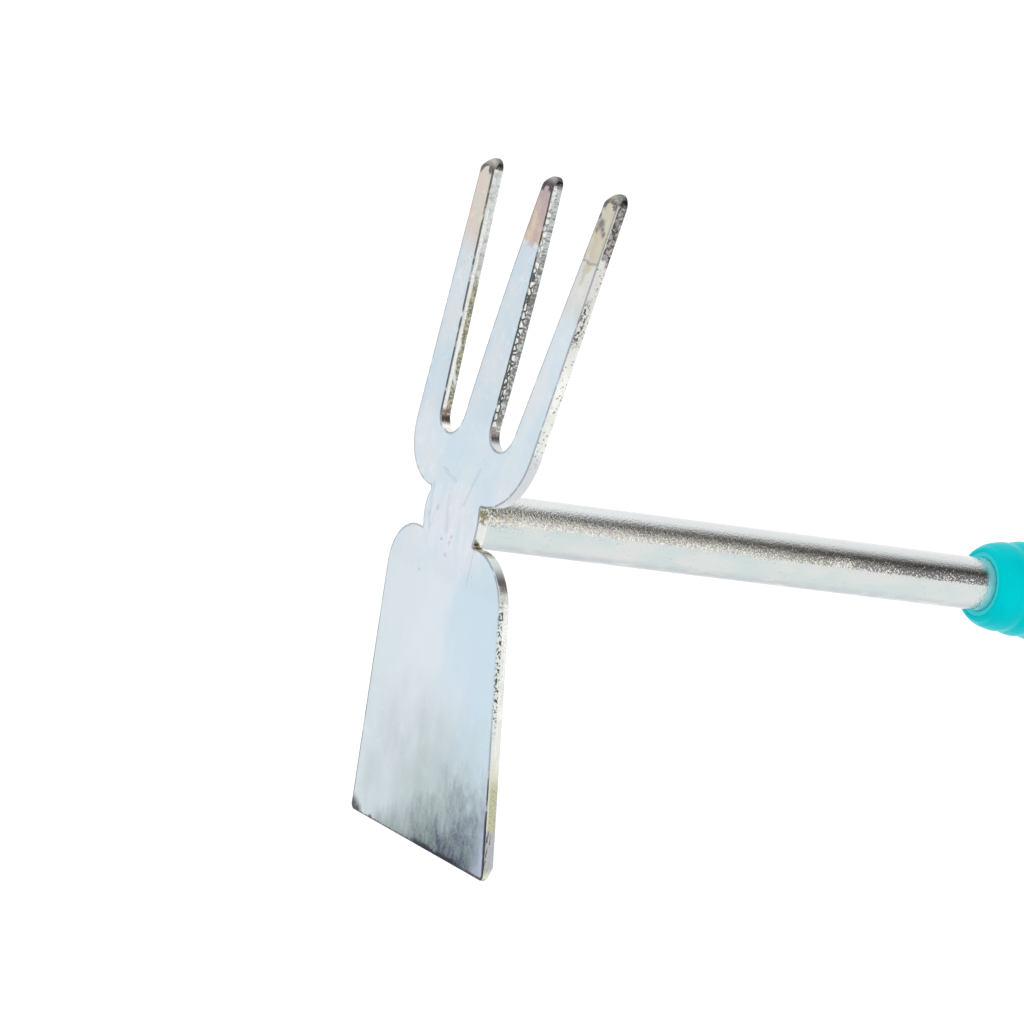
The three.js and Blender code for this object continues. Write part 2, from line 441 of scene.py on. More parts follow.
def edgeRings(roll, p):  # (inset, depth, wall) from the front face round the edge to the back face
    rings = [(roll + p["outlineWidth"], 0, 0), (roll + p["flatRim"], 0, 0)]
    for k, turn in enumerate(quarterTurn(p["rollSteps"])):
        rings.append((roll * (1 - math.sin(turn)), roll * (1 - math.cos(turn)), k / p["rollSteps"]))
    for k in range(1, p["wallSteps"]):
        rings.append((0, lerp(roll, p["thickness"] - p["backRoll"], k / p["wallSteps"]), 1))
    for k, turn in enumerate(quarterTurn(p["backSteps"])):
        depth = p["thickness"] - p["backRoll"] * (1 - math.sin(turn))
        rings.append((p["backRoll"] * (1 - math.cos(turn)), depth, 1 - k / p["backSteps"]))
    rings.append((p["backRoll"] + p["flatRim"], p["thickness"], 0))
    return rings


def makeHeadPlate(p):
    bm = bmesh.new()
    layers = [bm.verts.layers.float.new(name) for name in markNames]
    columns = []
    for y, z, normalY, normalZ, roll, ending in outlinePoints(headCircles(p), p):
        column = []
        for inset, depth, wall in edgeRings(roll, p):
            vert = bm.verts.new((depth, y - inset * normalY, z - inset * normalZ))
            marks = (wall, depth / p["thickness"], ending, normalY, 1 if column else 0)
            for layer, mark in zip(layers, marks):
                vert[layer] = mark
            column.append(vert)
        columns.append(column)
    for i, column in enumerate(columns):
        before = columns[i - 1]
        for k in range(len(column) - 1):
            bm.faces.new((before[k], column[k], column[k + 1], before[k + 1]))
    bm.faces.new([column[0] for column in columns])
    bm.faces.new([column[-1] for column in reversed(columns)])
    bmesh.ops.remove_doubles(bm, verts=bm.verts, dist=p["mergeReach"])
    bmesh.ops.triangulate(bm, faces=[f for f in bm.faces if len(f.verts) > 4])

    # Rows of vertices where the folds turn and where the bevel of the cutting edge starts
    foldCuts = [p["padHalfHeight"] + p["foldBlend"] * (k / p["foldSteps"] - 1)
                for k in range(2 * p["foldSteps"] + 1)]
    bevelTop = p["edgeBevelHeight"] - p["bladeReach"]
    bevelCuts = [bevelTop - p["bevelSpread"], bevelTop, bevelTop + p["bevelSpread"]]
    for cut in foldCuts + [-cut for cut in foldCuts] + bevelCuts:
        everything = bm.verts[:] + bm.edges[:] + bm.faces[:]
        bmesh.ops.bisect_plane(bm, geom=everything, dist=p["cutReach"], plane_co=(0, 0, cut),
                               plane_no=(0, 0, 1))
    bmesh.ops.dissolve_degenerate(bm, dist=p["mergeReach"], edges=bm.edges[:])
    for vert in bm.verts:
        x, y, z = vert.co
        ground = clamp((z + p["bladeReach"]) / p["edgeBevelHeight"])
        x *= lerp(p["edgeLand"] / p["thickness"], 1, ground)
        vert.co = Vector((x + leanAt(z, p), y, z)) * mm
    bmesh.ops.recalc_face_normals(bm, faces=bm.faces)
    return meshObject("headPlate", bm)


def faceSpots(flat, spots, soft=0.5):  # 1 within round spots (y, z, radius) on the sheet's face
    masks = []
    for middleY, middleZ, radius in spots:
        away = vectorCalc("DISTANCE", flat, (0, middleY, middleZ))
        masks.append(ramp(away, radius * (1 + soft), radius * (1 - soft)))
    return strongest(*masks)


def faceLines(flat, lines, soft=0.7):  # 1 near straight marks (end, end, half width) on the face
    masks = []
    for (startY, startZ), (endY, endZ), half in lines:
        reach = Vector((0, endY - startY, endZ - startZ))
        offset = vectorCalc("SUBTRACT", flat, (0, startY, startZ))
        along = vectorCalc("DOT_PRODUCT", offset, reach / reach.length_squared)
        held = addNode("ShaderNodeClamp", {"Value": along}).outputs[0]
        away = vectorCalc("DISTANCE", offset, scaled(reach, held))
        masks.append(ramp(away, half * (1 + soft), half * (1 - soft)))
    return strongest(*masks)


# In the looks, a ramp along x, y or z runs between millimetres, one of a noise between its values

def platingCloudsAndDarkReflection(y, z):  # the pale plating of the front face, with a painted dark reflection towards the bottom and -Y side of the blade
    drift = wobble(60, 16, 1, 2, (1, 1, 2))
    across = add(y, drift)
    fork = mixColour(ramp(grain(12, 2, 2, (1, 1, 2)), 0.36, 0.68), (202, 217, 226), (214, 220, 225))
    fork = lay(fork, (193, 214, 228), 0.5, ramp(grain(14, 3, 1), 0.46, 0.72))
    blade = layAll(
        mixColour(ramp(across, 18, -26), (207, 216, 223), (194, 212, 223)),
        ((214, 219, 226), 0.6, band(across, 2, 2, 22)),
        ((202, 215, 217), 0.7, ramp(across, 18, 50)),
    )
    low = mixColour(ramp(grain(12, 4, 3, (1, 1, 2.4)), 0.34, 0.7), (176, 192, 193), (188, 199, 204))
    smears = ramp(grain(2.2, 5, 3, (1, 1, 4)), 0.36, 0.64)
    return layAll(
        mixColour(ramp(z, -4, -24), fork, blade),
        # painted dark reflection: the blade's face darker towards its bottom and its -Y side
        (low, 0.9, ramp(add(z, drift), -52, -102), ramp(across, 46, 8)),
        ((174, 187, 187), 0.4, band(across, -4, 4, 20), ramp(z, -45, -85)),
        ((222, 223, 230), 0.75, band(z, -3, 4, 13), smears, ramp(absolute(y), 26, 16)),
    )


def platedSheet(p, w):
    startMaterial("platedSheet")
    y, z = objectAxes()[1:]
    wall, depth, tipEnd, side, rim = [
        addNode("ShaderNodeAttribute", {}, attribute_name=name).outputs["Fac"] for name in markNames]
    front = ramp(depth, 0.12, 0.04)
    shift = wobble(2.2, 1.4, 6, 3)
    flat = joinAxes(0, add(y, shift), minus(z, shift))
    leftProng = times(ramp(y, 16, 22), ramp(z, 28, 34))
    rightProng = times(ramp(y, -16, -22), ramp(z, 22, 30))
    middleProng = times(ramp(absolute(y), 16, 12), ramp(z, 30, 36))
    rightSide = ramp(y, 10, -10)

    # Dents, creases and pits about the neck
    creases = faceLines(flat, w["creases"])
    pits = faceSpots(flat, w["pits"])
    scuffs = times(ramp(grain(0.7, 7, 2, (1, 1, 9), 0.6), 0.66, 0.74), ramp(grain(18, 8, 1), 0.5, 0.6))
    worn = strongest(times(creases, 0.25), times(pits, 0.6), times(scuffs, 0.35))
    tint = mixColour(times(worn, front), platingCloudsAndDarkReflection(y, z), (172, 184, 200))

    # Heat and wear stains on the prong ends
    ragged = wobble(26, 4.5, 9, 3, (1, 1, 1.6))
    raggedZ = add(z, ragged)
    stain = ramp(raggedZ, 91, 95)
    softStain = ramp(lift(z, ragged, 0.6), 82, 96)
    patches = ramp(grain(5, 10, 3, (1, 1, 1.4)), 0.38, 0.6)
    greyStain = mixColour(patches, (204, 206, 200), (216, 212, 206))
    leftStain = mixColour(patches, (222, 196, 186), (204, 205, 188))
    middleStain = mixColour(patches, (192, 170, 164), (212, 194, 172))
    middleStain = lay(middleStain, (160, 142, 158), 0.55, ramp(z, 101, 110))
    rightStain = mixColour(patches, (198, 186, 164), (200, 197, 180))
    tideMark = times(rightProng, band(lift(z, ragged, 0.15), 94, 0.2, 0.5))
    specks = times(ramp(cells(1.5, 11), 0.2, 0.1), ramp(z, 74, 82), ramp(grain(4, 12, 2), 0.5, 0.56))
    tint = layAll(
        tint,
        (greyStain, 0.75, rightProng, ramp(raggedZ, 70, 80)),
        (leftStain, 0.85, leftProng, softStain),
        (middleStain, 0.95, middleProng, stain),
        (rightStain, 0.95, rightProng, stain),
        ((88, 86, 92), 0.8, strongest(faceSpots(flat, w["tipSpots"], 0.8), times(tideMark, 0.45))),
        ((108, 98, 96), 0.55, specks),
    )

    # Sooty streaks that climb from the cutting edge
    climb = add(z, p["bladeReach"])
    lowReach, highReach = w["sootReach"]
    reach = lift(lowReach, ramp(y, 34, -38), highReach - lowReach)
    streaks = grain(2, 13, 4, (1, 1, 2.6), 0.6, 0.3)
    clots = grain(8, 14, 4, (1, 1, 1.3), 0.5, 0.3)
    uneven = add(times(streaks, 0.6), times(clots, 0.7), 0.46)
    soot = ramp(minus(uneven, calc("DIVIDE", climb, reach)), 0.35, 1.1, False)
    soot = times(soot, ramp(y, -49, -42), ramp(y, 34, 22), lift(0.65, ramp(y, 18, -16), 0.35))
    violet = ramp(lift(clots, ramp(y, 0, -36), 0.16), 0.5, 0.68)
    sootColour = mixColour(violet, (104, 120, 120), (80, 90, 112))
    sootShare = lift(0.98, ramp(grain(1.1, 67, 3), 0.5, 0.64), -0.25)
    core = times(ramp(lift(climb, streaks, -9), 9, -3), band(y, -27, 9, 8),
                 ramp(cells(0.9, 45), 0.15, 0.35))
    tint = layAll(
        tint,
        (sootColour, sootShare, soot, front),
        ((70, 79, 98), 0.4, core, front),
        ((184, 192, 214), 0.7, ramp(lift(y, climb, 0.2), -35, -43), ramp(z, -70, -86)),
    )

    # Sheared walls: a burnished band along the front edge, then torn metal
    fine = grain(0.9, 47, 3)
    coarse = grain(3, 16, 2, (1, 1, 3))
    dusty = ramp(grain(0.5, 68, 4), 0.34, 0.66)
    hatch = ramp(grain(0.55, 48, 1, (9, 1, 1)), 0.54, 0.6)
    rear = ramp(lift(depth, shift, 0.05), 0.4, 0.5)
    ahead = without(rear)
    slotFoot = times(band(z, 30.5, 1.5, 1.5), ramp(absolute(y), 30, 27))
    neckTop = times(rightSide, band(z, 4.5, 2.5, 1.5))
    neckFoot = times(rightSide, band(z, -6.6, 0.8, 0.8))
    cornerWall = times(rightSide, band(z, -102, 5, 3))
    gold = mixColour(ramp(fine, 0.4, 0.56), (178, 174, 146), (104, 98, 76))
    mottled = mixColour(ramp(fine, 0.42, 0.58), (204, 210, 200), (216, 206, 208))
    olive = mixColour(dusty, (190, 190, 160), (156, 155, 122))
    iridescent = mixColour(dusty, (146, 168, 174), (184, 170, 180))
    charred = mixColour(ramp(grain(1.1, 66, 4), 0.42, 0.58), (40, 32, 34), (168, 164, 162))
    charred = lay(charred, (98, 92, 90), 0.35, ramp(fine, 0.44, 0.58))

    # Black blots, links and lines in the torn metal
    crazed = cells(1.8, 18, (1, 1, 1.3), "DISTANCE_TO_EDGE")
    links = times(ramp(crazed, 0.17, 0.1), middleProng, ahead,
                  strongest(times(ramp(z, 112, 104), 0.6), ramp(z, 92, 84)))
    bladeTop = times(ramp(z, -18, -24), ramp(z, -68, -52))
    bladeAhead = times(bladeTop, ahead)
    patch = times(rightProng, band(z, 74, 4, 6))
    dots = times(ramp(cells(1.15, 19), 0.36, 0.24), ramp(grain(3, 20, 2), 0.46, 0.54),
                 strongest(times(rightProng, 0.8), times(leftProng, 0.2), bladeAhead, patch, neckTop))
    blots = times(strongest(patch, bladeAhead), ramp(fine, 0.5, 0.56), ramp(depth, 0.8, 0.5))
    cornerLines = times(cornerWall, ramp(grain(0.6, 50, 2, (1, 1, 9)), 0.5, 0.58),
                        ramp(depth, 0.6, 0.45))
    sheared = layAll(
        mixColour(ramp(coarse, 0.4, 0.6), (236, 236, 232), (222, 224, 220)),
        ((204, 212, 214), 0.6, leftProng, rear),
        (gold, 0.85, leftProng, rear, ramp(z, 92, 70), ramp(coarse, 0.3, 0.44)),
        ((180, 188, 192), 0.8, middleProng, rear),
        ((104, 100, 92), 0.85, middleProng, rear, ramp(z, 98, 84), ramp(fine, 0.38, 0.52)),
        ((118, 114, 106), 0.8, middleProng, rear, ramp(z, 84, 92), hatch),
        ((124, 96, 90), 0.8, slotFoot, ramp(fine, 0.3, 0.5)),
        (mottled, 0.85, rightProng, band(z, 80, 10, 10)),
        ((200, 204, 208), 0.9, rightSide, band(z, 16, 10, 8)),
        ((192, 202, 202), 0.85, rightSide, band(z, -10.5, 3, 2)),
        ((214, 222, 216), 0.8, rightSide, band(z, -46, 22, 8), ahead),
        ((206, 208, 186), 0.85, rightSide, ramp(z, -66, -80)),
        (olive, 0.8, rightSide, band(z, -88, 6, 5), ramp(depth, 0.15, 0.3)),
        (iridescent, 0.85, cornerWall),
        ((140, 130, 84), 0.85, strongest(neckTop, neckFoot), ramp(fine, 0.42, 0.5)),
        (charred, 0.9, rightProng, ramp(raggedZ, 92, 96), ramp(depth, 0.1, 0.2)),
        ((50, 48, 44), 0.9, strongest(links, times(dots, 0.85), blots, cornerLines)),
    )
    tint = mixColour(wall, tint, sheared)
    tint = lay(tint, (40, 45, 54), 0.95, faceSpots(flat, w["edgeSpots"], 0.7))

    # Painted dark reflection along the front roll where each wall meets the face, and a fine dark outline
    # on the far edges
    darkEdges = strongest(leftProng, middleProng, times(rightSide, ramp(z, -74, -82)))
    edgeReflectionColour = mixColour(darkEdges, (112, 116, 126), (56, 60, 62))
    broken = ramp(grain(4, 49, 2), 0.24, 0.46)
    # painted dark reflection: a broken dark line on the front roll
    paintedEdgeReflection = times(band(wall, 0.42, 0.26, 0.2), ramp(depth, 0.4, 0.3),
                     without(tipEnd), broken, lift(1, bladeTop, -0.8))
    outline = times(ramp(rim, 0.25, 0.75), ramp(wall, 0.6, 0.4), ramp(depth, 0.4, 0.3))
    outlineShare = lift(0.35, ramp(z, -10, -60), 0.35)
    cut = minus(climb, times(minus(fine, 0.5), 2))
    tint = layAll(
        tint,
        (edgeReflectionColour, lift(0.6, darkEdges, 0.3), paintedEdgeReflection),
        ((92, 96, 104), outlineShare, outline, ramp(side, 0.1, 0.4), broken),
        ((60, 62, 70), 0.85, outline, rightSide, ramp(z, -88, -94), broken),
        ((70, 68, 72), 0.75, ramp(cut, 0.9, 0.4)),
        ((30, 35, 52), 0.92, ramp(cut, 2.6, 1), band(y, -14, 13, 6), ramp(grain(3, 15, 2), 0.3, 0.42)),
    )

    # Ground, heat-darkened ends of the prongs: a crescent on the face that runs down over the wall's end
    outer, middle = tipCircles(p)
    ends = [(endY, endZ - w["tipCrescentDrop"], radius - w["tipCrescent"])
            for endY, endZ, radius in (outer, (-outer[0], *outer[1:]), middle)]
    pastEnd = ramp(add(z, shift), outer[1] - 1.6, outer[1] - 0.4)
    crescent = times(pastEnd, without(faceSpots(flat, ends, 0.14)), without(wall))
    ground = times(wall, ramp(lift(tipEnd, shift, 0.1), 0.02, 0.16))
    darkEnd = mixColour(ramp(absolute(y), 8, 12), (52, 40, 54), (78, 76, 72))
    paleSwirl = ramp(grain(1.5, 22, 3, (1, 1, 1), 0.6, 1), 0.5, 0.6)
    darkEnd = lay(darkEnd, (168, 164, 160), lift(0.22, ramp(y, -16, -22), 0.35), paleSwirl)
    tint = lay(tint, darkEnd, 0.92, strongest(ground, crescent))

    rolled = bump(grain(0.5, 24, 3), 0.005)
    dented = bump(times(strongest(creases, pits), front, -1), 0.12, rolled)
    torn = times(cells(0.95, 26, (1.5, 1, 1.1)),
                 strongest(middleProng, times(bladeTop, 0.8), times(rightProng, 0.4)))
    relief = times(lift(torn, grain(1.1, 25, 2), 0.12), wall)
    return endMaterial({
        "Base Color": tint,
        "Metallic": 1,
        "Roughness": add(times(grain(4, 23, 3), 0.12), 0.27, times(wall, -0.14), times(soot, 0.15)),
        "Normal": bump(relief, 0.22, dented),
    })


headPlate = makeHeadPlate(plate)
headPlate.data.materials.append(platedSheet(plate, wear))
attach(headPlate, "root")
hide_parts("head_plate")
print("head plate:", len(headPlate.data.polygons), "faces")


# Shank: steel tube whose foot follows the folds of the neck
tubeLow, tubeHigh = nodeBox("shank_tube")
neckSeat = {
    "Pad half height": float(plate["padHalfHeight"]),
    "Fork slope": math.tan(plate["forkFold"]),
    "Blade slope": math.tan(plate["bladeFold"]),
}
tube = {
    "Radius": tubeHigh.y,
    "Wall": 1.2,
    "Foot": tubeLow.x,
    "End": tubeHigh.x,
    "Rounding share": 0.2,  # of the wall, at both ends
    "Rounding steps": 3,
    "Round steps": 160,
    **neckSeat,
}


def seatLean(given, height):  # how far the neck's folds stand back at a height
    above = calc("MAXIMUM", minus(height, given["Pad half height"]), 0)
    below = calc("MAXIMUM", minus(times(height, -1), given["Pad half height"]), 0)
    return add(times(above, given["Fork slope"]), times(below, given["Blade slope"]))


def circleCurve(steps, radius):
    return addNode("GeometryNodeCurvePrimitiveCircle", {"Resolution": steps, "Radius": radius}).outputs[0]


def sweepRound(circle, profile):  # a section swept round the shank's axis
    return addNode("GeometryNodeCurveToMesh", {"Curve": circle, "Profile Curve": profile}).outputs[0]


def layDown(shell, along, across, up):  # a sweep stands along Z in millimetres: laid along X in metres
    return moved(shell, Position=scaled(joinAxes(along, across, up), mm))


def tubeTree(material):
    given = startTree("sweptTube", tube)
    size = {"Width": given["Wall"], "Height": minus(given["End"], given["Foot"])}
    section = addNode("GeometryNodeCurvePrimitiveQuadrilateral", size).outputs[0]
    rounding = {"Curve": section, "Count": given["Rounding steps"],
                "Radius": times(given["Wall"], given["Rounding share"])}
    eased = addNode("GeometryNodeFilletCurve", rounding, mode="POLY").outputs[0]
    middle = minus(given["Radius"], times(given["Wall"], 0.5))
    shell = sweepRound(circleCurve(given["Round steps"], middle), eased)

    x, y, z = axes(addNode("GeometryNodeInputPosition", {}).outputs[0])
    along = add(z, times(add(given["End"], given["Foot"]), 0.5))
    seated = times(seatLean(given, y), calc("LESS_THAN", z, 0))
    return endTree(layDown(shell, add(along, seated), x, y), material)


def brightTube():
    startMaterial("brightTube")
    x, y, z = objectAxes()
    tint = mixColour(ramp(grain(7, 31, 3, (2.4, 1, 1)), 0.38, 0.62), (200, 211, 210), (211, 214, 212))
    tint = mixColour(ramp(z, 5, 8), tint, (210, 213, 214))

    # Painted reflection along the near side: a streak of dark specks and bright glints, with a paler spot
    # in it
    paintedReflectionStrip = times(ramp(add(z, wobble(2, 1.2, 61, 2)), 0.7, 1.4), ramp(z, 6.4, 4.8), ramp(y, 3, -3))
    paleSpot = times(band(x, 154, 1.5, 5), band(z, 3, 0.8, 1.8))
    farther = ramp(x, 90, 190)
    reflectionSpeckField = add(grain(0.55, 63, 2), times(ramp(z, 1, 5), 0.09), wobble(0.3, 14, 65, 2),
               times(farther, 0.05), times(paleSpot, -0.1))
    # painted glints and painted dark reflection specks
    paintedSpeckledReflection = mixColour(ramp(grain(1.1, 62, 2), 0.44, 0.56), (210, 204, 208), (236, 236, 220))
    paintedSpeckledReflection = lay(paintedSpeckledReflection, mixColour(farther, (118, 116, 106), (94, 88, 92)),
                  lift(0.1, ramp(x, 20, 190, False), 0.85), ramp(reflectionSpeckField, 0.47, 0.55))

    # Singed by the weld, grey underneath, scratched all over, and rougher with a painted pale cyan
    # reflection of the grip near its mouth
    singed = times(ramp(x, 30, 6), ramp(z, -3, 2), ramp(grain(0.9, 64, 2), 0.5, 0.58))
    under = times(ramp(z, -5, -9), ramp(grain(2.5, 32, 3, (3, 1, 1)), 0.2, 0.56))
    specks = times(ramp(cells(1.6, 33), 0.2, 0.08), ramp(grain(6, 34, 2), 0.48, 0.6))
    scratches = times(ramp(grain(0.5, 35, 2, (14, 1, 1), 0.6), 0.66, 0.74),
                      ramp(grain(10, 36, 1), 0.46, 0.6))
    gripMouth = nodeBox("grip_sleeve")[0].x
    paintedMouthReflection = ramp(x, gripMouth - 4.5, gripMouth - 1.5)
    tint = layAll(
        tint,
        (paintedSpeckledReflection, 0.9, paintedReflectionStrip),
        ((132, 124, 84), 0.7, singed),
        ((172, 174, 182), 0.85, under),
        ((150, 150, 142), 1, strongest(times(specks, 0.5), times(scratches, 0.4))),
        # painted reflection of the teal grip on the tube near its mouth
        ((216, 236, 238), 0.9, paintedMouthReflection),
    )
    pitted = bump(grain(0.7, 38, 2, (1, 1, 1), 0.6), 0.15)
    return endMaterial({
        "Base Color": tint,
        "Metallic": 1,
        "Roughness": add(times(grain(3, 37, 3), 0.06), 0.02, times(paintedMouthReflection, 0.4)),
        "Normal": bump(grain(5, 39, 1, (3, 1, 1)), 0.12, pitted),
    })


shankTube = meshObject("shankTube", bmesh.new())
runTree(shankTube, tubeTree(brightTube()), tube)
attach(shankTube, "root")
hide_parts("shank_tube")
print("shank:", len(shankTube.data.polygons), "faces")


# Weld: rippled fillet bead round the foot of the shank
weldLow, weldHigh = nodeBox("weld_bead")
weld = {
    "Inner radius": tube["Radius"],
    "Leg": weldHigh.y - tube["Radius"],
    "Section share": 0.78,  # the round section's radius, as a share of the leg
    "Foot": weldLow.x,
    "Seat": 0.3,  # how far the section's middle stands off the neck
    "Ripple count": 34,
    "Ripple height": 0.28,
    "Ripple skew": 0.25,
    "Wander": 1.2,  # how unevenly the ripples follow each other
    "Wander grain": 0.35,
    "Section steps": 20,
    "Round steps": 408,
    **neckSeat,
}


def weldTree(material):
    given = startTree("rippledWeld", weld)
    section = circleCurve(given["Section steps"], times(given["Leg"], given["Section share"]))
    ring = sweepRound(circleCurve(given["Round steps"], given["Inner radius"]), section)

    spot = addNode("GeometryNodeInputPosition", {}).outputs[0]
    x, y, z = axes(spot)
    turn = calc("DIVIDE", calc("ARCTAN2", y, x), math.tau)
    wander = addNode("ShaderNodeTexNoise", {"Vector": spot, "Scale": given["Wander grain"]}).outputs["Fac"]
    skew = add(times(z, given["Ripple skew"]), times(wander, given["Wander"]))
    step = calc("FRACT", add(times(turn, given["Ripple count"]), skew))
    swell = times(minus(without(times(step, step)), 0.5), given["Ripple height"])
    outward = addNode("GeometryNodeInputNormal", {}).outputs[0]
    rippled = moved(ring, Offset=scaled(outward, swell))
    along = add(z, given["Foot"], given["Seat"], seatLean(given, y))
    return endTree(layDown(rippled, along, x, y), material)


def weldMetal():
    startMaterial("weldMetal")
    objectAxes()
    tint = mixColour(ramp(grain(2.5, 41, 3), 0.35, 0.65), (206, 206, 198), (228, 230, 228))
    burnt = ramp(grain(1.8, 44, 3), 0.56, 0.64)
    return endMaterial({
        "Base Color": lay(tint, (128, 116, 74), 0.8, burnt),
        "Metallic": 1,
        "Roughness": lift(0.15, grain(1.5, 42, 3), 0.25),
        "Normal": bump(grain(0.7, 43, 3), 0.09),
    })


weldBead = meshObject("weldBead", bmesh.new())
runTree(weldBead, weldTree(weldMetal()), weld)
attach(weldBead, "root")
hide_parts("weld_bead")
print("weld:", len(weldBead.data.polygons), "faces")


# Grip: moulded sleeve with ribs behind its mouth and a hang hole through its dished tail
gripLow, gripHigh = nodeBox("grip_sleeve")
grip = {
    "mouth": gripLow.x,
    "length": gripHigh.x - gripLow.x,
    "fit": 0.3,
    "mouthGap": 0.04,  # the rubber closes on the tube a little way inside its mouth
    "mouthRounding": 0.25,
    "mouthDepth": 0.6,
    "insert": 98,
    "frontRadius": 13.9,
    "palmRadius": gripHigh.z,
    "waistRadius": 15.6,
    "tailRadius": 16.8,
    "palmStart": 54,
    "waistStart": 98,
    "tailStart": 113,
    "tailRounding": 9,
    "tailThickness": 20,
    "tailDishRadius": 40,
    "tailBlend": 2,  # how softly the dishes run into the round skin
    "hangHoleRadius": 4.5,
    "hangHoleInset": 15,
    "holeLip": 1.5,
    "endRim": 0.95,  # share of the end's radius at which a flat ring keeps its shading flat
    "turnSteps": 96,
    "boreRows": 8,
    "mouthShares": (0, 0.3, 0.6, 0.9),
    "mouthSteps": 4,
    "lipSteps": 12,
    "ribRows": 12,
    "skinPitch": 1.2,
    "tailSteps": 16,
    "holeCells": 10,
    "holePitch": 0.75,
    "holeShares": (0.3, 0.6, 0.85, 1),
    "holeSteps": 6,
}
grip["bore"] = tube["Radius"] + grip["fit"]
grip["lip"] = (grip["frontRadius"] - grip["bore"]) / 2  # the mouth's front is a half round
grip["tailAt"] = grip["length"] - grip["tailRounding"]
grip["holeAt"] = grip["length"] - grip["hangHoleInset"]
ribs = {
    "Mouth": grip["mouth"],
    "Pitch": 8.6,
    "Depth": 0.75,
    "Start": 11.8,
    "Count": 6,
}


def gripRadius(along, g):  # the round skin's radius at a distance from the mouth
    if along < g["palmStart"]:
        left = (g["palmStart"] - along) / (g["palmStart"] - g["lip"])
        return lerp(g["frontRadius"], g["palmRadius"], math.sqrt(max(1 - left ** 2, 0)))
    if along < g["waistStart"]:
        return lerp(g["palmRadius"], g["waistRadius"], smoothStep(along, g["palmStart"], g["waistStart"]))
    radius = lerp(g["waistRadius"], g["tailRadius"], smoothStep(along, g["waistStart"], g["tailStart"]))
    if along > g["tailAt"]:
        over = min((along - g["tailAt"]) / g["tailRounding"], 1)
        radius -= g["tailRounding"] * (1 - math.sqrt(1 - over ** 2))
    return radius


def dishAt(along, g):  # half the tail's thickness where the dishes cut it
    away = min(abs(along - g["holeAt"]), g["tailDishRadius"])
    return g["tailThickness"] / 2 + g["tailDishRadius"] - math.sqrt(g["tailDishRadius"] ** 2 - away ** 2)


def roundPoint(along, radius, turn, g):  # turn 0 faces +Y
    return (g["mouth"] + along, radius * math.cos(turn), radius * math.sin(turn))


def skinPoint(along, turn, g):
    plain = gripRadius(along, g)
    flat = dishAt(along, g) / max(abs(math.cos(turn)), 0.02)  # far outside the round skin at the sides
    share = clamp(0.5 + 0.5 * (flat - plain) / g["tailBlend"])
    return roundPoint(along, lerp(flat, plain, share) - g["tailBlend"] * share * (1 - share), turn, g)


def boreRings(g):  # (distance from the mouth, radius) from the bottom of the bore out over the lip
    bore, lip, rounding = g["bore"], g["lip"], g["mouthRounding"]
    tight = tube["Radius"] + g["mouthGap"]
    rings = [(lerp(g["insert"] + g["fit"], g["mouthDepth"] + 1, k / g["boreRows"]), bore)
             for k in range(g["boreRows"] + 1)]
    for share in g["mouthShares"]:
        rings.append((lerp(g["mouthDepth"], rounding, share), lerp(tight, bore + lip - rounding, share)))
    for turn in quarterTurn(g["mouthSteps"])[:-1]:
        rings.append((rounding * (1 - math.sin(turn)), bore + lip - rounding * math.cos(turn)))
    for turn in quarterTurn(g["lipSteps"])[:-1]:
        rings.append((lip * (1 - math.cos(turn)), bore + lip * (1 + math.sin(turn))))
    return rings


def skinStations(g):  # distances from the mouth of the skin's rows, and which row the hole starts at
    pitch = ribs["Pitch"] / g["ribRows"]
    ribsEnd = ribs["Start"] + ribs["Pitch"] * (ribs["Count"] - 0.5)
    along = ribs["Start"] - math.floor((ribs["Start"] - g["lip"]) / pitch) * pitch
    stations = []
    while along < ribsEnd:
        stations.append(along)
        along += pitch
    holeStart = g["holeAt"] - g["holeCells"] * g["holePitch"]
    rest = math.ceil((holeStart - along) / g["skinPitch"])
    stations += [lerp(along, holeStart, k / rest) for k in range(rest)]
    holeRow = len(stations)
    stations += [g["holeAt"] + g["holePitch"] * k for k in range(-g["holeCells"], g["holeCells"] + 1)]
    start = math.asin((stations[-1] - g["tailAt"]) / g["tailRounding"])
    for k in range(1, g["tailSteps"] + 1):
        turn = lerp(start, math.pi / 2, k / g["tailSteps"])
        stations.append(g["tailAt"] + g["tailRounding"] * math.sin(turn))
    return stations, holeRow


def joinRings(bm, rings):  # faces between each closed ring and the next
    for before, ring in zip(rings, rings[1:]):
        for k in range(len(ring)):
            bm.faces.new((before[k - 1], before[k], ring[k], ring[k - 1]))


def holeRing(bm, g, side, circle, radius, drop):
    ring = []
    for alongX, alongZ in circle:
        x = g["mouth"] + g["holeAt"] + radius * alongX
        ring.append(bm.verts.new((x, side * (dishAt(x - g["mouth"], g) - drop), radius * alongZ)))
    return ring


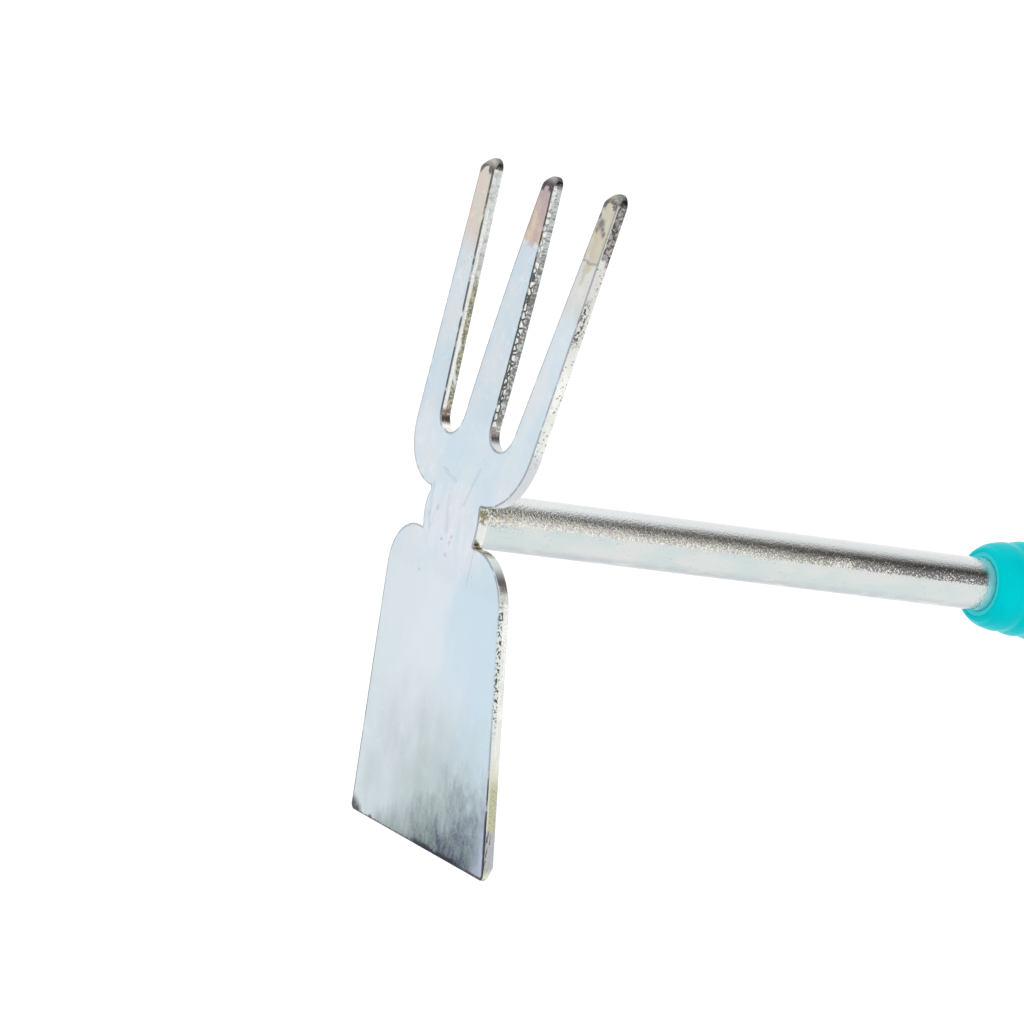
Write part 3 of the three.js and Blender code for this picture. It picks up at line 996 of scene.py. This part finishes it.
def openHangHole(bm, rows, holeRow, g):
    # Rings from the block of cells left open, over a rounded lip, through to the other side
    reach, steps = g["holeCells"], g["turnSteps"]
    centre = g["mouth"] + g["holeAt"]
    outer = g["hangHoleRadius"] + g["holeLip"]
    corners = [(-reach, -reach), (-reach, reach), (reach, reach), (reach, -reach)]
    inner = []
    for side, middle in ((1, 0), (-1, steps // 2)):
        border = []
        for (i0, k0), (i1, k1) in zip(corners, corners[1:] + corners[:1]):
            for step in range(2 * reach):
                i = i0 + (i1 - i0) * step // (2 * reach)
                k = k0 + (k1 - k0) * step // (2 * reach)
                border.append(rows[holeRow + reach + i][(middle + side * k) % steps])
        angles = [math.atan2(vert.co.z, vert.co.x - centre) for vert in border]
        circle = [(math.cos(angle), math.sin(angle)) for angle in angles]
        rings = [border]
        for share in g["holeShares"]:
            ring = []
            for vert, (alongX, alongZ) in zip(border, circle):
                x = lerp(vert.co.x, centre + outer * alongX, share)
                z = lerp(vert.co.z, outer * alongZ, share)
                ring.append(bm.verts.new((x, side * dishAt(x - g["mouth"], g), z)))
            rings.append(ring)
        for turn in quarterTurn(g["holeSteps"])[1:]:
            radius = g["hangHoleRadius"] + g["holeLip"] * (1 - math.sin(turn))
            rings.append(holeRing(bm, g, side, circle, radius, g["holeLip"] * (1 - math.cos(turn))))
        joinRings(bm, rings)
        inner.append(rings[-1])
    # The two inner rings run the same way round, seen along Y
    between = [[bm.verts.new(a.co.lerp(b.co, step / g["holeSteps"])) for a, b in zip(*inner)]
               for step in range(1, g["holeSteps"])]
    joinRings(bm, [inner[0], *between, inner[1]])


def makeGrip(g):
    bm = bmesh.new()
    skinLayer = bm.verts.layers.float.new("skin")
    steps, reach = g["turnSteps"], g["holeCells"]
    turns = [math.tau * k / steps for k in range(steps)]
    rows = [[bm.verts.new(roundPoint(along, radius, turn, g)) for turn in turns]
            for along, radius in boreRings(g)]
    stations, holeRow = skinStations(g)
    holeRow += len(rows)
    for along in stations:
        row = [bm.verts.new(skinPoint(along, turn, g)) for turn in turns]
        for vert in row:
            vert[skinLayer] = 1
        rows.append(row)

    def inHole(i, k):  # cells that the hang hole's own rings replace
        if not holeRow <= i < holeRow + 2 * reach:
            return False
        return any((k - side + reach) % steps < 2 * reach for side in (0, steps // 2))

    bottom = bm.verts.new((g["mouth"] + g["insert"] + g["fit"], 0, 0))
    rim = [bm.verts.new((v.co.x, v.co.y * g["endRim"], v.co.z * g["endRim"])) for v in rows[-1]]
    end = bm.verts.new((rows[-1][0].co.x, 0, 0))
    for k in range(steps):
        after = (k + 1) % steps
        for i in range(len(rows) - 1):
            if not inHole(i, k):
                bm.faces.new((rows[i][k], rows[i][after], rows[i + 1][after], rows[i + 1][k]))
        bm.faces.new((bottom, rows[0][after], rows[0][k]))
        bm.faces.new((rows[-1][k], rows[-1][after], rim[after], rim[k]))
        bm.faces.new((end, rim[k], rim[after]))
    openHangHole(bm, rows, holeRow, g)
    bmesh.ops.delete(bm, geom=[v for v in bm.verts if not v.link_faces], context="VERTS")
    bmesh.ops.scale(bm, vec=(mm, mm, mm), verts=bm.verts)
    bmesh.ops.recalc_face_normals(bm, faces=bm.faces)
    return meshObject("gripSleeve", bm)


def ribTree(material):  # ribs left standing between rounded grooves, on the skin only
    given = startTree("gripRibs", ribs)
    x, y, z = axes(addNode("GeometryNodeInputPosition", {}).outputs[0])
    along = minus(times(x, 1 / mm), given["Mouth"])
    place = calc("DIVIDE", minus(along, given["Start"]), given["Pitch"])
    nearest = calc("MINIMUM", calc("MAXIMUM", calc("ROUND", place), 0), minus(given["Count"], 1))
    away = calc("MINIMUM", times(absolute(minus(place, nearest)), 2), 1)
    crest = calc("SINE", times(away, math.pi / 2))
    groove = times(without(crest), given["Depth"])
    skin = addNode("GeometryNodeInputNamedAttribute", {"Name": "skin"}, data_type="FLOAT").outputs[0]
    outward = vectorCalc("NORMALIZE", joinAxes(0, y, z))
    pressed = moved(given["Geometry"], Offset=scaled(outward, times(groove, skin, -mm)))
    return endTree(pressed, material)


def tealGrip(g):
    startMaterial("tealGrip")
    x, y, z = objectAxes()
    offAxis = calc("POWER", add(times(y, y), times(z, z)), 0.5)
    tint = layAll(
        mixColour(ramp(grain(14, 51, 2), 0.3, 0.7), (0, 191, 198), (1, 199, 205)),
        ((0, 176, 182), 0.12, ramp(grain(3, 52, 4), 0.5, 0.7)),
        # painted shade: the grip darker on its underside
        ((0, 172, 180), 0.4, ramp(z, -4, -13)),
        # painted highlight: a lighter rim inside the mouth, which also brightens its reflection in the tube
        ((60, 216, 221), 0.8, ramp(offAxis, 11.8, 11.3), ramp(x, g["mouth"] + 1.5, g["mouth"] + 1)),
    )
    return endMaterial({
        "Base Color": tint,
        "Specular IOR Level": 0.055,
        "Specular Tint": colour((90, 225, 228)),
        "Roughness": lift(0.2, grain(2, 53, 2), 0.1),
        "Normal": bump(grain(0.6, 54, 2), 0.012),
    })


gripSleeve = makeGrip(grip)
runTree(gripSleeve, ribTree(tealGrip(grip)), ribs)
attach(gripSleeve, "root")
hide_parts("grip_sleeve")
print("grip:", len(gripSleeve.data.polygons), "faces")


# Floor, world and studio light
studio = {
    "floorHeight": -0.34,
    "floorSize": 14,
    "floorColour": (0.96, 0.96, 0.96, 1),
    "floorRoughness": 0.9,
    "floorSpecular": 0.1,
    "floorGlow": 0.13,  # light table: the floor reads as the photograph's plain white
    "skyColour": (1, 1, 1, 1),
    "skyStrength": 1.12,
    "gapColour": (0.115, 0.098, 0.088, 1),  # unlit side of the room, towards -Y
    "gapLow": (math.radians(2), math.radians(9)),  # it starts sharply above the horizon
    "gapHigh": (math.radians(112), math.radians(58)),  # and fades out softly overhead
    "gapSides": ((0.15, 0.3), (0.9, 0.75)),  # it is narrow, along the shank
    "clutterTop": (math.radians(56), math.radians(44)),  # lit things stand in its lower part
    "clutterThins": (math.radians(46), math.radians(10)),  # fewer of them the higher it is
    "clutterThinning": 0.16,
    "clutterGrain": 1 / 9,
    "clutterDetail": 3,
    "clutterEdge": (0.51, 0.55),
    "clutterShare": 0.95,
    "lampPlace": (0.1, 0.9, 2.2),
    "lampSize": 2.4,
    "lampEnergy": 3,
}


def setFloor(s):
    bm = bmesh.new()
    half = s["floorSize"] / 2
    corners = [bm.verts.new((x, y, s["floorHeight"]))
               for x, y in ((-half, -half), (half, -half), (half, half), (-half, half))]
    bm.faces.new(corners)
    floor = meshObject("floor", bm, smooth=False)
    startMaterial("floorPaper")
    floor.data.materials.append(endMaterial({
        "Base Color": s["floorColour"],
        "Roughness": s["floorRoughness"],
        "Specular IOR Level": s["floorSpecular"],
        "Emission Color": s["skyColour"],
        "Emission Strength": s["floorGlow"],
    }))


def setWorld(s):
    world = bpy.data.worlds.new("studioWorld")
    world.use_nodes = True
    bpy.context.scene.world = world
    current["tree"] = world.node_tree
    current["place"] = addNode("ShaderNodeTexCoord", {}).outputs["Generated"]
    x, y, z = axes(current["place"])
    rise = calc("ARCTAN2", z, times(y, -1))  # angle up from -Y, about the shank
    nearSide, farSide = s["gapSides"]
    gap = times(ramp(rise, *s["gapLow"]), ramp(rise, *s["gapHigh"]), ramp(x, *nearSide), ramp(x, *farSide))
    crowd = lift(grain(s["clutterGrain"], 0, s["clutterDetail"]), ramp(rise, *s["clutterThins"]),
                 s["clutterThinning"])
    lit = times(ramp(crowd, *s["clutterEdge"]), ramp(rise, *s["clutterTop"]), s["clutterShare"])
    gap = minus(gap, times(lit, gap))
    back = world.node_tree.nodes["Background"]
    feed(back.inputs["Color"], mixColour(gap, s["skyColour"], s["gapColour"]))
    feed(back.inputs["Strength"], s["skyStrength"])


def setLamp(s):
    lamp = bpy.data.lights.new("overheadSoftbox", "AREA")
    lamp.shape = "SQUARE"
    lamp.size = s["lampSize"]
    lamp.energy = s["lampEnergy"]
    above = bpy.data.objects.new("overheadSoftbox", lamp)
    above.location = s["lampPlace"]
    bpy.context.scene.collection.objects.link(above)


setFloor(studio)
setWorld(studio)
setLamp(studio)
bpy.context.scene.view_settings.view_transform = "Standard"
print("studio set")
